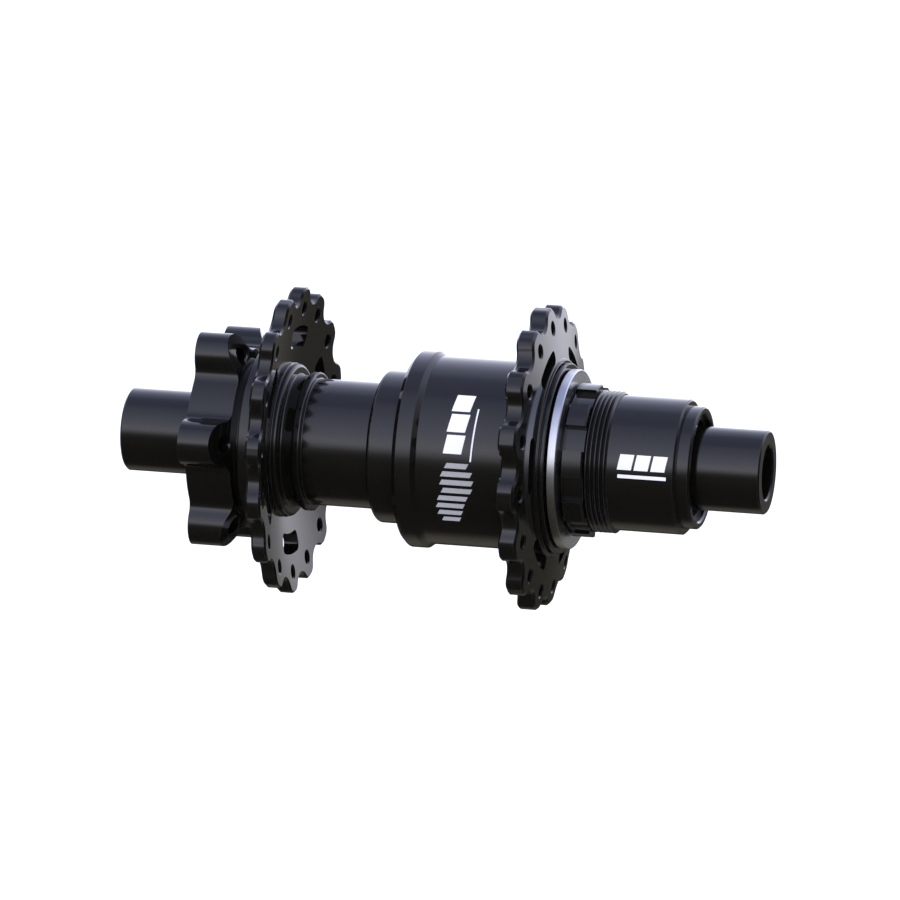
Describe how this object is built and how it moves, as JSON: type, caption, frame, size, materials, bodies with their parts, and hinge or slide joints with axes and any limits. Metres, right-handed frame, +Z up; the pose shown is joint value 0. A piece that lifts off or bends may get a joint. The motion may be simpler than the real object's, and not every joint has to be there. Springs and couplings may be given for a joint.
{
  "type": "bicycle rear hub",
  "caption": "Rear bicycle hub with two drilled spoke flanges, a six-bolt disc brake mount and a splined driver for a one-piece cassette.",
  "frame": {"origin": "on the axle's centre line, midway between the two end faces", "axes": "+Y along the axle toward the disc brake side, -Y toward the drive side, +X forward, +Z up"},
  "size_m": [0.0688, 0.148, 0.0688],
  "materials": {
    "black_anodised": "black anodised, satin",
    "bare_aluminium": "turned, bare",
    "bearing_steel": "ground",
    "clutch_steel": "hardened and ground",
    "spring_steel": "oiled, dark",
    "cage_plastic": "moulded",
    "seal_rubber": "matt"
  },
  "bodies": {
    "axle": {"axle": "bare_aluminium", "disc_end_cap": "black_anodised", "drive_end_cap": "black_anodised", "disc_cap_o_ring": "seal_rubber", "drive_cap_o_ring": "seal_rubber", "clutch_spacer": "bare_aluminium", "driver_spacer": "bare_aluminium", "disc_bearing_inner_race": "bearing_steel", "mid_bearing_inner_race": "bearing_steel", "inboard_bearing_inner_race": "bearing_steel", "outboard_bearing_inner_race": "bearing_steel"},
    "hub": {"hub_shell": "black_anodised", "clutch_outer_race": "clutch_steel", "sprag_cage": "spring_steel", "sprags": "clutch_steel", "sprag_spring": "spring_steel", "driver_seal": "seal_rubber", "disc_bearing_outer_race": "bearing_steel", "disc_bearing_seals": "seal_rubber", "mid_bearing_outer_race": "bearing_steel", "mid_bearing_seals": "seal_rubber", "clutch_bearing_outer_race": "bearing_steel", "clutch_bearing_seals": "seal_rubber"},
    "driver": {"driver_body": "black_anodised", "driver_inner_race": "clutch_steel", "shield_ring": "bare_aluminium", "circlip": "spring_steel", "clutch_bearing_inner_race": "bearing_steel", "inboard_bearing_outer_race": "bearing_steel", "inboard_bearing_seals": "seal_rubber", "outboard_bearing_outer_race": "bearing_steel", "outboard_bearing_seals": "seal_rubber"},
    "disc_bearing_cage": {"disc_bearing_cage": "cage_plastic", "disc_bearing_balls": "bearing_steel"},
    "mid_bearing_cage": {"mid_bearing_cage": "cage_plastic", "mid_bearing_balls": "bearing_steel"},
    "clutch_bearing_cage": {"clutch_bearing_cage": "cage_plastic", "clutch_bearing_balls": "bearing_steel"},
    "inboard_bearing_cage": {"inboard_bearing_cage": "cage_plastic", "inboard_bearing_balls": "bearing_steel"},
    "outboard_bearing_cage": {"outboard_bearing_cage": "cage_plastic", "outboard_bearing_balls": "bearing_steel"}
  },
  "joints": [
    {"name": "shell_spin", "type": "hinge", "parent": "axle", "child": "hub", "pos_m": [0, 0, 0], "axis": [0, 1, 0], "continuous": true},
    {"name": "driver_spin", "type": "hinge", "parent": "axle", "child": "driver", "pos_m": [0, 0, 0], "axis": [0, 1, 0], "continuous": true},
    {"name": "disc_bearing_cage_spin", "type": "hinge", "parent": "axle", "child": "disc_bearing_cage", "pos_m": [0, 0, 0], "axis": [0, 1, 0], "continuous": true},
    {"name": "mid_bearing_cage_spin", "type": "hinge", "parent": "axle", "child": "mid_bearing_cage", "pos_m": [0, 0, 0], "axis": [0, 1, 0], "continuous": true},
    {"name": "clutch_bearing_cage_spin", "type": "hinge", "parent": "axle", "child": "clutch_bearing_cage", "pos_m": [0, 0, 0], "axis": [0, 1, 0], "continuous": true},
    {"name": "inboard_bearing_cage_spin", "type": "hinge", "parent": "axle", "child": "inboard_bearing_cage", "pos_m": [0, 0, 0], "axis": [0, 1, 0], "continuous": true},
    {"name": "outboard_bearing_cage_spin", "type": "hinge", "parent": "axle", "child": "outboard_bearing_cage", "pos_m": [0, 0, 0], "axis": [0, 1, 0], "continuous": true}
  ],
  "couplings": [
    {"joint": "disc_bearing_cage_spin", "follows": "shell_spin", "ratio": 0.593},
    {"joint": "mid_bearing_cage_spin", "follows": "shell_spin", "ratio": 0.593},
    {"joint": "clutch_bearing_cage_spin", "follows": "shell_spin", "ratio": 0.5565},
    {"joint": "inboard_bearing_cage_spin", "follows": "driver_spin", "ratio": 0.5615},
    {"joint": "outboard_bearing_cage_spin", "follows": "driver_spin", "ratio": 0.5615}
  ]
}
